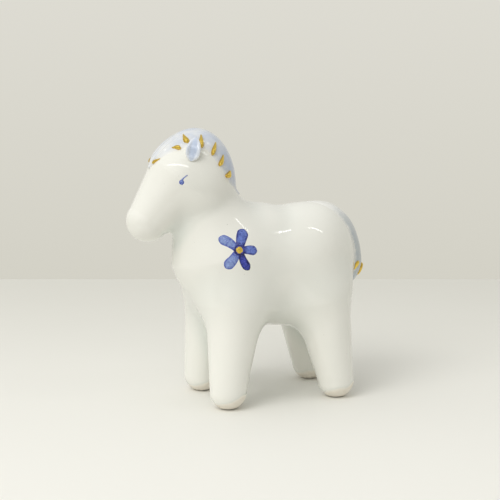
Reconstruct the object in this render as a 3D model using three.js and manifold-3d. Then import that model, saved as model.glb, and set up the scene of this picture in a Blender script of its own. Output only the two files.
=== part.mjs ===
// A glazed porcelain horse figurine, in millimetres: a hollow slip-cast body on four solid legs, with applied
// relief (ears, mane, tail), raised gilt drops, and enamel brush strokes (a flower on one flank, two eyes).
// +Z is up, the head looks along -X, the left flank faces -Y, and the feet stand on z = 0.
import * as THREE from 'three';
import { mergeVertices } from 'three/addons/utils/BufferGeometryUtils.js';
import Module from 'manifold-3d';

// Driving dimensions.
const BODY_SHIFT = 7.6; // from the middle of the feet to the middle of the whole length, along +X
const FOOT_REACH = 20.6; // from the middle of the feet to a foot's centre, along X
const FOOT_SPREAD = 13.3; // from the middle plane to a foot's centre
const FOOT_RADIUS = 6.4;
const FOOT_CENTRE = 7; // height of the middle of a foot's round end
const RIGHT_HIND_BACK = 1.6; // how far the right hind foot stands behind the left one
const FOOT_TRIM = 1; // ground off under the feet to make them flat
const WALL = 4; // thickness of the cast shell
const BELLY_BOTTOM = 26.2;
const VENT_RADIUS = 3; // drain hole under the belly
const GAP = 0.3; // between pieces that are stuck together
const MANE_HEIGHT = 1.5;
const RELIEF_EDGE = 0.45; // thickness of the mane and the tail at their edges
const DROP_RADIUS = 1; // half the width of a gilt drop
const DROP_HEIGHT = 0.95;
const ENAMEL_HEIGHT = 0.45;
const EAR_HEIGHT = 1.8;
const EAR_LIFT = 2.9; // how far the ear's tip stands off the head
const FLOWER_EYE_RADIUS = 1.35;
const THIN = 0.45; // a domed piece's thickness at its rim, as a share of its thickness in the middle

// How finely the outside and the inside of the body are faceted, and the space that they are looked for in.
const BODY_CELL = 3;
const HOLLOW_CELL = 5;
const BODY_BOX = new THREE.Box3(new THREE.Vector3(-60, -27, -6), new THREE.Vector3(45, 27, 105));

const wasm = await Module();
wasm.setup();

const vec = (x, y, z) => new THREE.Vector3(x, y, z);

// --- The body as a field: negative inside the clay, and close to the distance from its surface ---

// An ellipsoid of three radii, pitched by an angle about Y.
function ball(centre, radii, pitch = 0) {
  const cos = Math.cos(pitch);
  const sin = Math.sin(pitch);
  return (p) => {
    const dx = p.x - centre.x;
    const dz = p.z - centre.z;
    const x = (cos * dx - sin * dz) / radii.x;
    const y = (p.y - centre.y) / radii.y;
    const z = (sin * dx + cos * dz) / radii.z;
    const reach = Math.hypot(x, y, z);
    const slope = Math.hypot(x / radii.x, y / radii.y, z / radii.z);
    return slope > 0 ? (reach * (reach - 1)) / slope : -radii.x;
  };
}

// A round bar between two points whose radius goes evenly from one end's to the other's.
function limb(from, to, fromRadius, toRadius) {
  const along = to.clone().sub(from);
  return (p) => {
    const offset = p.clone().sub(from);
    const t = THREE.MathUtils.clamp(offset.dot(along) / along.lengthSq(), 0, 1);
    return offset.addScaledVector(along, -t).length() - THREE.MathUtils.lerp(fromRadius, toRadius, t);
  };
}

// Two fields joined with a fillet of about the given size.
function melt(a, b, fillet) {
  const near = Math.max(fillet - Math.abs(a - b), 0) / fillet;
  return Math.min(a, b) - (near * near * fillet) / 4;
}

// The lumps of clay, each with the fillet that joins it to those before it.
const TRUNK = [
  // belly, chest, haunches, rump, withers
  [ball(vec(2, 0, BELLY_BOTTOM + 20.7), vec(27, 18.5, 20.7)), 1],
  [ball(vec(-15, 0, 49.5), vec(16, 18.5, 20)), 8],
  [ball(vec(14, 0, 51), vec(14, 17.3, 17.5)), 8],
  [ball(vec(19.6, 0, 51.6), vec(11.4, 11.5, 15.8)), 6],
  [ball(vec(-4, 0, 60), vec(11, 12, 10)), 4],
];
const HEAD = [
  // neck, skull, muzzle, cheeks
  [limb(vec(-19.1, 0, 54.5), vec(-25.5, 0, 78), 16.8, 9.8), 6],
  [ball(vec(-27.8, 0, 84), vec(11, 11.2, 11.7)), 6],
  [limb(vec(-33.5, 0, 79), vec(-44.7, 0, 66.3), 11.8, 7.3), 6],
  [ball(vec(-27, 0, 77.5), vec(12, 13, 12.5)), 4],
];
const LEGS = [
  { hip: vec(-17, -10.5, 36), foot: vec(-FOOT_REACH, -FOOT_SPREAD, 0), thickness: 10 },
  { hip: vec(-17, 10.5, 36), foot: vec(-FOOT_REACH, FOOT_SPREAD, 0), thickness: 10 },
  { hip: vec(16, -10.5, 36), foot: vec(FOOT_REACH, -FOOT_SPREAD, 0), thickness: 10.2 },
  { hip: vec(16.6, 10.5, 36), foot: vec(FOOT_REACH + RIGHT_HIND_BACK, FOOT_SPREAD, 0), thickness: 10.2 },
].map(({ hip, foot, thickness }) => [limb(hip, foot.setZ(FOOT_CENTRE), thickness, FOOT_RADIUS), 9]);

function fieldOf(lumps) {
  return (p) => lumps.reduce((sum, [lump, fillet]) => melt(sum, lump(p), fillet), Infinity);
}

const outside = fieldOf([...TRUNK, ...HEAD, ...LEGS]);
const trunkAndHead = fieldOf([...TRUNK, ...HEAD]);
const hollow = (p) => trunkAndHead(p) + WALL;

// --- From fields to solids ---

const SLOPE_STEP = 0.01;
const LONGEST_STEP = 0.8;

// The field's slope at a point, which points straight out of the surface.
function slopeAt(field, p) {
  const probe = (axis) => {
    const ahead = p.clone();
    const behind = p.clone();
    ahead[axis] += SLOPE_STEP;
    behind[axis] -= SLOPE_STEP;
    return (field(ahead) - field(behind)) / (2 * SLOPE_STEP);
  };
  return vec(probe('x'), probe('y'), probe('z'));
}

// Moves a point along the slope, in short steps, until it lies on the field's surface.
function settle(field, p, steps = 6) {
  for (let i = 0; i < steps; i++) {
    const slope = slopeAt(field, p);
    const reach = THREE.MathUtils.clamp(-field(p) / slope.length(), -LONGEST_STEP, LONGEST_STEP);
    p.addScaledVector(slope.normalize(), reach);
  }
  return p;
}

// The closed surface where a field is zero, as one vertex in each grid cell that it crosses.
function surfaceOf(field, box, cell) {
  const half = box.getSize(vec(0, 0, 0)).divideScalar(2 * cell).ceil();
  const count = half.clone().multiplyScalar(2).addScalar(1);
  const low = box.getCenter(vec(0, 0, 0)).addScaledVector(half, -cell);
  const strides = [1, count.x, count.x * count.y];
  const indexOf = (i, j, k) => i * strides[0] + j * strides[1] + k * strides[2];
  const cornerAt = (i, j, k) => vec(i, j, k).multiplyScalar(cell).add(low);
  const values = new Float32Array(count.x * count.y * count.z);
  for (let k = 0; k < count.z; k++)
    for (let j = 0; j < count.y; j++)
      for (let i = 0; i < count.x; i++) values[indexOf(i, j, k)] = field(cornerAt(i, j, k));

  const steps = [vec(1, 0, 0), vec(0, 1, 0), vec(0, 0, 1)];
  const positions = [];
  const vertexOfCell = new Map();
  // The mean of the places where the surface crosses the cell's twelve edges, settled onto it.
  function vertexIn(i, j, k) {
    const key = indexOf(i, j, k);
    if (vertexOfCell.has(key)) return vertexOfCell.get(key);
    const sum = vec(0, 0, 0);
    let crossings = 0;
    for (let edge = 0; edge < 12; edge++) {
      const axis = Math.floor(edge / 4);
      const others = [(axis + 1) % 3, (axis + 2) % 3];
      const start = [0, 0, 0];
      start[others[0]] = edge & 1;
      start[others[1]] = (edge >> 1) & 1;
      const at = indexOf(i + start[0], j + start[1], k + start[2]);
      const a = values[at];
      const b = values[at + strides[axis]];
      if (a < 0 === b < 0) continue;
      sum.add(vec(i + start[0], j + start[1], k + start[2]).addScaledVector(steps[axis], a / (a - b)));
      crossings++;
    }
    const place = settle(field, sum.divideScalar(crossings).multiplyScalar(cell).add(low));
    vertexOfCell.set(key, positions.length / 3);
    positions.push(place.x, place.y, place.z);
    return vertexOfCell.get(key);
  }

  const faces = [];
  for (let k = 1; k < count.z - 1; k++)
    for (let j = 1; j < count.y - 1; j++)
      for (let i = 1; i < count.x - 1; i++)
        for (let axis = 0; axis < 3; axis++) {
          const here = values[indexOf(i, j, k)] < 0;
          const next = values[indexOf(i, j, k) + strides[axis]] < 0;
          if (here === next) continue;
          const [u, v] = [steps[(axis + 1) % 3], steps[(axis + 2) % 3]];
          const ring = [[0, 0], [1, 0], [1, 1], [0, 1]].map(([du, dv]) =>
            vertexIn(i - du * u.x - dv * v.x, j - du * u.y - dv * v.y, k - du * u.z - dv * v.z));
          const [a, b, c, d] = here ? ring : ring.reverse();
          faces.push(a, b, c, a, c, d);
        }
  const geometry = new THREE.BufferGeometry();
  geometry.setAttribute('position', new THREE.Float32BufferAttribute(positions, 3));
  return geometry.setIndex(faces);
}

// A closed three.js geometry as a solid that can be joined and cut.
function solidOf(geometry) {
  const bare = geometry.clone();
  bare.deleteAttribute('normal');
  bare.deleteAttribute('uv');
  const merged = mergeVertices(bare, 1e-4);
  return new wasm.Manifold(new wasm.Mesh({
    numProp: 3,
    vertProperties: merged.attributes.position.array,
    triVerts: new Uint32Array(merged.index.array),
  }));
}

function geometryOf(solid) {
  const mesh = solid.getMesh();
  const geometry = new THREE.BufferGeometry();
  geometry.setAttribute('position', new THREE.Float32BufferAttribute(mesh.vertProperties, 3));
  return geometry.setIndex(new THREE.BufferAttribute(mesh.triVerts, 1));
}

// --- Relief that lies on the body ---

// The place on the body at an arc length to one side of a centre, walked there in short steps.
function walk(centre, side, reach) {
  const p = centre.clone();
  const steps = Math.max(1, Math.ceil(Math.abs(reach)));
  const heading = side.clone();
  for (let i = 0; i < steps; i++) {
    const out = slopeAt(outside, p).normalize();
    heading.addScaledVector(out, -heading.dot(out)).normalize();
    p.addScaledVector(heading, reach / steps);
    settle(outside, p, 2);
  }
  return p;
}

// The footing of a strip that follows a line over the body: s runs along it from 0 to 1, v across from -1 to 1.
function footing(line, halfWidth) {
  return (s, v) => {
    const centre = settle(outside, line.getPoint(s));
    const side = slopeAt(outside, centre).cross(line.getTangent(s)).normalize();
    return walk(centre, side, v * halfWidth(s));
  };
}

// A closed piece of relief over a footing, its underside lifted off the body and its top a height above that.
function relief({ foot, lift, height, along, across }) {
  const sides = [[], []];
  for (let i = 0; i <= along; i++)
    for (let j = 0; j <= across; j++) {
      const s = i / along;
      const v = (2 * j) / across - 1;
      const place = foot(s, v);
      const up = slopeAt(outside, place).normalize();
      sides[0].push(place.clone().addScaledVector(up, lift(s, v)));
      sides[1].push(place.addScaledVector(up, lift(s, v) + height(s, v)));
    }
  const at = (i, j, face) => i * (across + 1) + j + face * sides[0].length;
  const faces = [];
  const quad = (a, b, c, d) => faces.push(a, b, c, a, c, d);
  for (let i = 0; i < along; i++)
    for (let j = 0; j < across; j++) {
      quad(at(i, j, 1), at(i + 1, j, 1), at(i + 1, j + 1, 1), at(i, j + 1, 1));
      quad(at(i, j, 0), at(i, j + 1, 0), at(i + 1, j + 1, 0), at(i + 1, j, 0));
    }
  for (let i = 0; i < along; i++) {
    quad(at(i, 0, 0), at(i + 1, 0, 0), at(i + 1, 0, 1), at(i, 0, 1));
    quad(at(i, across, 1), at(i + 1, across, 1), at(i + 1, across, 0), at(i, across, 0));
  }
  for (let j = 0; j < across; j++) {
    quad(at(0, j, 1), at(0, j + 1, 1), at(0, j + 1, 0), at(0, j, 0));
    quad(at(along, j, 0), at(along, j + 1, 0), at(along, j + 1, 1), at(along, j, 1));
  }
  // Where the footing is left-handed, the faces turn round.
  const corners = sides.flat();
  const middle = at(along / 2, across / 2, 1);
  const forward = corners[middle + across + 1].clone().sub(corners[middle]);
  const sideways = corners[middle + 1].clone().sub(corners[middle]);
  if (forward.cross(sideways).dot(slopeAt(outside, corners[middle])) < 0) faces.reverse();
  const geometry = new THREE.BufferGeometry();
  geometry.setAttribute('position', new THREE.Float32BufferAttribute(corners.flatMap((p) => p.toArray()), 3));
  return geometry.setIndex(faces);
}

const through = (...points) => new THREE.CatmullRomCurve3(points, false, 'centripetal');

// A height that falls towards both edges of a strip.
const dome = (height, v) => height * (1 - (1 - THIN) * v * v);

// A smooth run through values at even shares of a strip's length.
function profile(...values) {
  const curve = new THREE.SplineCurve(values.map((value, i) => new THREE.Vector2(i, value)));
  return (s) => curve.getPoint(s).y;
}

// --- The body ---

function makeBody() {
  const cast = solidOf(surfaceOf(outside, BODY_BOX, BODY_CELL));
  const hollowed = cast.subtract(solidOf(surfaceOf(hollow, BODY_BOX, HOLLOW_CELL)));
  const size = BODY_BOX.getSize(vec(0, 0, 0)).multiplyScalar(2);
  const belowFloor = new THREE.BoxGeometry(size.x, size.y, size.z).translate(0, 0, FOOT_TRIM - size.z / 2);
  const vent = new THREE.CylinderGeometry(VENT_RADIUS, VENT_RADIUS, 3 * WALL, 24);
  vent.rotateX(Math.PI / 2).translate(0, 0, BELLY_BOTTOM + WALL / 2);
  return geometryOf(hollowed.subtract(solidOf(belowFloor)).subtract(solidOf(vent)));
}

// --- The mane and the tail, as bands over the body ---

// A band's line over the body, its half width, its height, and the length that its drops are laid out by.
function makeBand({ line, halfWidth, height, length }) {
  return { foot: footing(line, halfWidth), halfWidth, height, length };
}

const maneSwell = profile(0.3, 0.66, 0.9, 1, 1, 0.95, 0.85, 0.64, 0.3);
const mane = makeBand({
  line: through(vec(-43.8, 0, 84.4), vec(-40, 0, 90.4), vec(-34.5, 0, 94.5), vec(-27, 0, 96), vec(-20, 0, 92.5),
    vec(-16.4, 0, 87), vec(-14, 0, 80.5), vec(-10.5, 0, 74.5)),
  halfWidth: profile(0.9, 5.2, 8, 9.8, 11.8, 13.2, 13.2, 10.4, 0.9),
  height: (s, v) => THREE.MathUtils.lerp(RELIEF_EDGE, MANE_HEIGHT, (1 - v * v) * maneSwell(s)),
  length: 53,
});

const tailRise = profile(0.4, 1.1, 1.8, 2.1, 2.3, 2.9, 3.7, 2.8, 0.6);
const tail = makeBand({
  line: through(vec(15, 0, 70), vec(23, 0, 66.5), vec(29, 0, 60.5), vec(32.5, 0, 52), vec(31.6, 0, 43.5),
    vec(30, 0, 36)),
  halfWidth: profile(0.8, 5, 7, 7.6, 7.4, 6.6, 5.6, 4, 0.6),
  height: (s, v) => THREE.MathUtils.lerp(RELIEF_EDGE, tailRise(s), Math.sqrt(Math.max(1 - v * v, 0.02))),
  length: 40,
});

function makeBandRelief(band, along, across) {
  return relief({ foot: band.foot, lift: () => GAP, height: band.height, along, across });
}

// --- The gilt drops on the bands ---

// The round end and the tip of each drop on one side of the mane, as shares of its length and its half width.
const MANE_DROPS = [
  [[0.025, 0.93], [0.095, 1]],
  [[0.26, 0.95], [0.215, 0.42]],
  [[0.315, 0.95], [0.305, 0.42]],
  [[0.405, 0.96], [0.415, 0.5]],
  [[0.53, 0.97], [0.54, 0.57]],
  [[0.665, 0.98], [0.645, 0.62]],
  [[0.81, 0.98], [0.785, 0.68]],
];
// The same for the end of the tail.
const TAIL_DROPS = {
  left: [[0.7, -0.8], [0.79, -0.96]],
  middle: [[0.73, -0.3], [0.84, -0.5]],
  right: [[0.73, 0.5], [0.82, 0.8]],
};
const dropOutline = profile(0.3, 0.85, 1, 0.95, 0.78, 0.52, 0.15);

function makeDrop(band, [round, tip]) {
  const width = band.halfWidth((round[0] + tip[0]) / 2);
  const run = new THREE.Vector2((tip[0] - round[0]) * band.length, (tip[1] - round[1]) * width).normalize();
  const onBand = (t, v) => {
    const aside = v * DROP_RADIUS * dropOutline(t);
    return [
      THREE.MathUtils.lerp(round[0], tip[0], t) - (aside * run.y) / band.length,
      THREE.MathUtils.lerp(round[1], tip[1], t) + (aside * run.x) / width,
    ];
  };
  return relief({
    foot: (t, v) => band.foot(...onBand(t, v)),
    lift: (t, v) => 2 * GAP + band.height(...onBand(t, v)),
    height: (t, v) => dome(DROP_HEIGHT, v) * Math.sqrt(dropOutline(t)),
    along: 8,
    across: 4,
  });
}

// --- The ears and the eyes, on either side ---

const onSide = (side, ...points) => points.map(([x, y, z]) => vec(x, side * y, z));

function makeEar(side) {
  const line = through(...onSide(side, [-32.2, 11.4, 87.6], [-30, 8.6, 92.6]));
  return relief({
    foot: footing(line, profile(0.7, 1.6, 2.05, 2, 1.6, 1, 0.2)),
    lift: (s) => GAP + EAR_LIFT * (0.6 * THREE.MathUtils.smoothstep(s, 0.15, 0.42) + 0.4 * s),
    height: (s, v) => EAR_HEIGHT * (0.5 + 0.5 * v * v) * (1 - 0.5 * s),
    along: 12,
    across: 8,
  });
}

// A brush stroke's footing, raised by the thickness of the enamel.
function makeStroke(foot, along, across) {
  return relief({ foot, lift: () => GAP, height: (s, v) => dome(ENAMEL_HEIGHT, v), along, across });
}

function makeEye(side) {
  const line = through(...onSide(side, [-36.7, 12, 79.3], [-36, 12, 81.6], [-34.2, 12, 83]));
  return makeStroke(footing(line, profile(0.3, 0.85, 0.95, 0.8, 0.4, 0.32, 0.25, 0.12)), 12, 4);
}

// --- The flower on the left flank ---

const flowerCentre = settle(outside, vec(-18.2, -18.3, 57.4));
const flowerOut = slopeAt(outside, flowerCentre).normalize();
const flowerRight = vec(0, 0, 1).cross(flowerOut).normalize();
const flowerUp = flowerOut.clone().cross(flowerRight);

// A point in the flower's own plane, at an angle from the tail's direction and a distance from its centre.
function inFlower(degrees, distance) {
  const angle = THREE.MathUtils.degToRad(degrees);
  return flowerCentre.clone()
    .addScaledVector(flowerRight, Math.cos(angle) * distance)
    .addScaledVector(flowerUp, Math.sin(angle) * distance);
}

const PETALS = {
  petal_top: { angle: 70, length: 7.8, width: 4.2 },
  petal_front_top: { angle: 137, length: 8.2, width: 3.9 },
  petal_front_bottom: { angle: 229, length: 8, width: 4 },
  petal_bottom: { angle: 288, length: 7.7, width: 3.4 },
  petal_back: { angle: 357, length: 6.3, width: 3.5 },
};
const petalOutline = profile(0.28, 0.5, 0.78, 0.98, 1, 0.85, 0.3);

function makePetal({ angle, length, width }) {
  const line = through(inFlower(angle, FLOWER_EYE_RADIUS + GAP), inFlower(angle, length));
  return makeStroke(footing(line, (s) => (width / 2) * petalOutline(s)), 10, 6);
}

function makeFlowerEye() {
  const roundness = (s) => Math.sqrt(Math.max(1 - (2 * s - 1) ** 2, 0.04));
  const line = through(inFlower(180, FLOWER_EYE_RADIUS), inFlower(0, FLOWER_EYE_RADIUS));
  return relief({
    foot: footing(line, (s) => FLOWER_EYE_RADIUS * roundness(s)),
    lift: () => GAP,
    height: (s, v) => dome(DROP_HEIGHT, v) * roundness(s),
    along: 10,
    across: 6,
  });
}

// --- The horse ---

const porcelain = new THREE.MeshStandardMaterial({ color: 0xf1f0ea, roughness: 0.12, metalness: 0 });
const paleBlue = new THREE.MeshStandardMaterial({ color: 0xc3cde3, roughness: 0.15, metalness: 0 });
const gilt = new THREE.MeshStandardMaterial({ color: 0xb98538, roughness: 0.25, metalness: 1 });
const cobalt = new THREE.MeshStandardMaterial({ color: 0x3c3c8c, roughness: 0.2, metalness: 0 });

const horse = new THREE.Group();
horse.position.set(BODY_SHIFT, 0, -FOOT_TRIM);

function add(name, geometry, glaze) {
  const mesh = new THREE.Mesh(geometry, glaze);
  mesh.name = name;
  horse.add(mesh);
}

add('body', makeBody(), porcelain);
add('mane', makeBandRelief(mane, 28, 10), paleBlue);
add('tail', makeBandRelief(tail, 20, 8), paleBlue);
for (const [name, side] of Object.entries({ left: -1, right: 1 })) {
  add(`ear_${name}`, makeEar(side), paleBlue);
  add(`eye_${name}`, makeEye(side), cobalt);
  MANE_DROPS.forEach((ends, i) => {
    const onThisSide = ends.map(([s, v]) => [s, side * v]);
    add(`mane_drop_${name}_${i + 1}`, makeDrop(mane, onThisSide), gilt);
  });
}
for (const [name, ends] of Object.entries(TAIL_DROPS)) add(`tail_drop_${name}`, makeDrop(tail, ends), gilt);
for (const [name, petal] of Object.entries(PETALS)) add(name, makePetal(petal), cobalt);
add('flower_eye', makeFlowerEye(), gilt);

export default horse;
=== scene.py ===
"""The looks of a glazed porcelain horse with a blue mane and tail, gilt drops and a painted flower.

The body is a field of melted lumps of clay, meshed finely, and every applied piece lies on that same field.
Lengths inside the clay classes are in millimetres from the middle of the feet, and meshes are in metres.
"""

import logging
import math
from collections.abc import Callable, Mapping, Sequence
from dataclasses import dataclass, field
from enum import Enum
from itertools import pairwise

import bmesh
import bpy
import numpy as np
from mathutils import Matrix, Vector


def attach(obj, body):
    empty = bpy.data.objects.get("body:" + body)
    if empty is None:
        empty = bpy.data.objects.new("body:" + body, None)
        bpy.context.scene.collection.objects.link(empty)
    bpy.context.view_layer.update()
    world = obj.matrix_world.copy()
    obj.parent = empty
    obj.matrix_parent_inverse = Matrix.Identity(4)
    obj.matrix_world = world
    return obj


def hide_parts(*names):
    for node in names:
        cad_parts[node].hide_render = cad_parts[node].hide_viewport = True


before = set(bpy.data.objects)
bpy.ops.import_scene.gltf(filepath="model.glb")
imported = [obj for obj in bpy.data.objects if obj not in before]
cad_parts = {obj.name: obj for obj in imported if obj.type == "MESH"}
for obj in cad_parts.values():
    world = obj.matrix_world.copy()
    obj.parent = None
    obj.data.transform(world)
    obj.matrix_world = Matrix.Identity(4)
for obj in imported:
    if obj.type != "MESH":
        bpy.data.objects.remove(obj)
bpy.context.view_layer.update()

LOG = logging.getLogger("horse")
ROOT = "root"
MM = 0.001
TINY = 1e-9
SINK = 0.35  # how far the underside of a relief goes into what it lies on
Array = np.ndarray
Material = bpy.types.Material
Piece = bpy.types.Object
Pair = tuple[Array, Array]
Triple = tuple[float, float, float]


class Mark(Enum):
    """Numbers that a mesh carries on its vertices for its finish."""

    ALONG = "along"
    ACROSS = "across"
    GLAZE = "glaze_reach"
    CREASE = "crease"


# --- Shader maths ---


class Wire:
    """A shader socket that can be used in Python sums."""

    def __init__(self, nodes: "NodeBook", socket: bpy.types.NodeSocket | None) -> None:
        """Wraps one output socket of a node tree."""
        self.nodes = nodes
        self.socket = socket

    def _maths(self, operation: str, *terms: "Wire | float") -> "Wire":
        """Adds one Math node."""
        return self.nodes.add("ShaderNodeMath", {"operation": operation}, dict(enumerate(terms)))

    def __add__(self, other: "Wire | float") -> "Wire":
        """The sum."""
        return self._maths("ADD", self, other)

    __radd__ = __add__

    def __sub__(self, other: "Wire | float") -> "Wire":
        """The difference."""
        return self._maths("SUBTRACT", self, other)

    def __rsub__(self, other: float) -> "Wire":
        """The difference from a number."""
        return self._maths("SUBTRACT", other, self)

    def __mul__(self, other: "Wire | float") -> "Wire":
        """The product."""
        return self._maths("MULTIPLY", self, other)

    __rmul__ = __mul__

    def __truediv__(self, other: "Wire | float") -> "Wire":
        """The quotient."""
        return self._maths("DIVIDE", self, other)

    def __abs__(self) -> "Wire":
        """The size without its sign."""
        return self._maths("ABSOLUTE", self)

    def rise(self, low: float, high: float) -> "Wire":
        """A smooth step.

        Args:
            low: the value at which the step leaves 0, or 1 where low is above high.
            high: the value at which it arrives.

        Returns:
            A number from 0 to 1.
        """
        settings = {"interpolation_type": "SMOOTHSTEP"}
        values = {"Value": self, "From Min": min(low, high), "From Max": max(low, high)}
        values |= {"To Min": float(low > high), "To Max": float(low < high)}
        return self.nodes.add("ShaderNodeMapRange", settings, values)


class NodeBook:
    """The node tree of a material or a world, written as expressions."""

    def __init__(self, owner: Material | bpy.types.World) -> None:
        """Starts with an empty tree."""
        self.owner = owner
        owner.use_nodes = True
        self.tree = owner.node_tree
        self.tree.nodes.clear()

    @classmethod
    def paint(cls, name: str) -> "NodeBook":
        """The tree of a new material."""
        return cls(bpy.data.materials.new(name))

    def put(self, socket: bpy.types.NodeSocket, value: object) -> None:
        """Links a wire to a socket, or sets the socket to a constant."""
        if isinstance(value, Wire):
            self.tree.links.new(value.socket, socket)
        elif socket.type == "RGBA":
            socket.default_value = (*value, 1.0)
        else:
            socket.default_value = value

    def add(
        self,
        kind: str,
        settings: Mapping[str, object],
        values: Mapping[str | int, object],
        output: str | int = 0,
    ) -> Wire:
        """Adds any node.

        Args:
            kind: the node's type.
            settings: its properties, set before anything is linked.
            values: what goes into its sockets, by name or number.
            output: which of its outputs is wanted.

        Returns:
            That output as a wire.
        """
        node = self.tree.nodes.new(kind)
        for key, value in settings.items():
            setattr(node, key, value)
        for key, value in values.items():
            self.put(node.inputs[key], value)
        return Wire(self, node.outputs[output] if node.outputs else None)

    def mix(self, factor: Wire | float, first: object, second: object) -> Wire:
        """A colour between two others."""
        settings = {"data_type": "RGBA", "clamp_factor": True}
        return self.add("ShaderNodeMix", settings, {0: factor, 6: first, 7: second}, 2)

    def attribute(self, mark: Mark) -> Wire:
        """A number stored on the mesh's vertices."""
        return self.add("ShaderNodeAttribute", {"attribute_name": mark.value}, {}, "Fac")

    def toward(self, space: str, direction: Vector) -> Wire:
        """How far along a direction each place of a texture space lies."""
        operands = {0: self.add("ShaderNodeTexCoord", {}, {}, space), 1: direction}
        return self.add("ShaderNodeVectorMath", {"operation": "DOT_PRODUCT"}, operands, "Value")

    def noise(self, size_mm: float, detail: float, distortion: float = 0.0) -> Wire:
        """Noise in the object's own space.

        Args:
            size_mm: how large one blotch is.
            detail: how many finer octaves it has.
            distortion: how much it is swirled.

        Returns:
            A number about 0.5.
        """
        place = self.add("ShaderNodeTexCoord", {}, {}, "Object")
        values = {"Vector": place, "Scale": 1 / (size_mm * MM), "Detail": detail, "Distortion": distortion}
        return self.add("ShaderNodeTexNoise", {}, values)

    def bump(self, height: Wire, depth_mm: float) -> Wire:
        """A bumped normal, for a height from 0 to 1 that stands for a depth."""
        return self.add("ShaderNodeBump", {}, {"Height": height, "Distance": depth_mm * MM, "Strength": 1.0})

    def finish(self, **sockets: object) -> Material:
        """Ends the tree with a Principled shader, whose sockets are named with underscores for spaces."""
        values = {name.replace("_", " "): value for name, value in sockets.items()}
        shader = self.add("ShaderNodeBsdfPrincipled", {}, values)
        self.add("ShaderNodeOutputMaterial", {}, {"Surface": shader})
        return self.owner

    def glazed(self, colour: Wire, roughness: Wire, normal: Wire, coat: Wire | float) -> Material:
        """Ends the tree as something under glass-clear gloss."""
        gloss = {"IOR": 1.5, "Coat_Weight": coat, "Coat_Roughness": 0.03}
        return self.finish(Base_Color=colour, Roughness=roughness, Normal=normal, **gloss)


# --- Finishes ---


@dataclass(frozen=True)
class ClearGlaze:
    """Clear gloss over white porcelain, and bare clay below the line where the glaze was wiped off.

    Attributes:
        white: the glazed porcelain's colour.
        clouded: its colour in faint clouds.
        pooled: its colour where the glaze ran together.
        bare: the bare clay's colour.
        grain: the colour of its paler grains.
        speck: the colour of the dark specks in both.
        matt: the bare clay's roughness.
        gloss: the glaze's roughness.
    """

    white: Triple = (0.856, 0.854, 0.806)
    clouded: Triple = (0.835, 0.835, 0.79)
    pooled: Triple = (0.72, 0.76, 0.72)
    bare: Triple = (0.85, 0.80, 0.705)
    grain: Triple = (0.87, 0.825, 0.74)
    speck: Triple = (0.22, 0.2, 0.17)
    matt: float = 0.55
    gloss: float = 0.07

    def make(self) -> Material:
        """Builds the material."""
        book = NodeBook.paint("clear_glaze")
        ragged = book.attribute(Mark.GLAZE) + (book.noise(2.2, 3.0) - 0.5) * 0.9
        glazed = ragged.rise(-0.9, 0.9)
        line = ragged.rise(-0.5, 0.2) * ragged.rise(1.2, 0.4)
        cloud = book.noise(16.0, 2.0).rise(0.35, 0.75)
        body = book.mix(cloud * 0.25, self.white, self.clouded)
        body = book.mix(book.attribute(Mark.CREASE) * 0.6, body, self.pooled)
        body = book.mix(line * 0.35, body, self.pooled)
        clay = book.mix(book.noise(0.6, 4.0), self.bare, self.grain)
        specks = book.noise(0.55, 0.0).rise(0.885, 0.91)
        colour = book.mix(specks * 0.4, book.mix(glazed, clay, body), self.speck)
        grain = book.noise(0.22, 3.0) * (1 - glazed) * 0.108
        ripple = book.noise(11.0, 1.0) * glazed * 0.015
        roughness = self.matt - glazed * (self.matt - self.gloss)
        return book.glazed(colour, roughness, book.bump(grain + ripple, 1.0), glazed * 0.5)


@dataclass(frozen=True)
class BlueWash:
    """A watery blue under the gloss, thin at its edges, deeper where it ran together at its rim, and darkened
    along the crest with painted shade.

    Attributes:
        name: the material's name.
        thin: the colour at its edges.
        middle: the colour where it covers.
        deep: the colour where it ran together, and the painted shade laid along the crest.
        start: the share of the length at which it starts to deepen.
        end: the share at which it is deepest.
        least: how much of it there is before the start.
        fade: the share of the half width at which it starts to thin out.
    """

    name: str
    thin: Triple = (0.845, 0.845, 0.82)
    middle: Triple = (0.56, 0.62, 0.745)
    deep: Triple = (0.31, 0.385, 0.55)
    start: float = 0.25
    end: float = 0.8
    least: float = 0.42
    fade: float = 0.62

    def make(self) -> Material:
        """Builds the material."""
        book = NodeBook.paint(self.name)
        along = book.attribute(Mark.ALONG)
        across = abs(book.attribute(Mark.ACROSS))
        water = book.noise(5.0, 4.0, 0.6)
        streaks = book.noise(1.7, 3.0, 1.2)
        cover = along.rise(self.start - 0.25, self.end) * (0.97 - self.least) + self.least
        edge = (across + (streaks - 0.5) * 0.25).rise(1.02, self.fade)
        colour = book.mix((cover + (water - 0.5) * 1.5) * edge, self.thin, self.middle)
        # painted shade: the deep colour is laid down the middle of a band, where its crest turns away from the
        # light, and down the middle of an ear's cup
        run = across.rise(0.4, 0.05) * along.rise(self.start + 0.2, self.end + 0.1)
        rim = across.rise(0.74, 0.88) * across.rise(1.0, 0.93) * along.rise(self.start - 0.1, self.end) * 0.5
        low = along.rise(self.end - 0.35, self.end) * 0.35
        colour = book.mix((run + rim + low) * (0.45 + streaks * 0.6) * edge, colour, self.deep)
        normal = book.bump(water * 0.35 + streaks * 0.12, 0.22)
        return book.glazed(colour, 0.07 + streaks * 0.05, normal, 0.5)


class Strength(Enum):
    """How much cobalt a brush stroke was loaded with: the colours of its middle and of its pooled edge."""

    PALE = ((0.225, 0.305, 0.585), (0.08, 0.115, 0.43))
    MIDDLE = ((0.12, 0.18, 0.53), (0.025, 0.032, 0.22))
    DEEP = ((0.045, 0.06, 0.38), (0.006, 0.007, 0.08))


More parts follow.
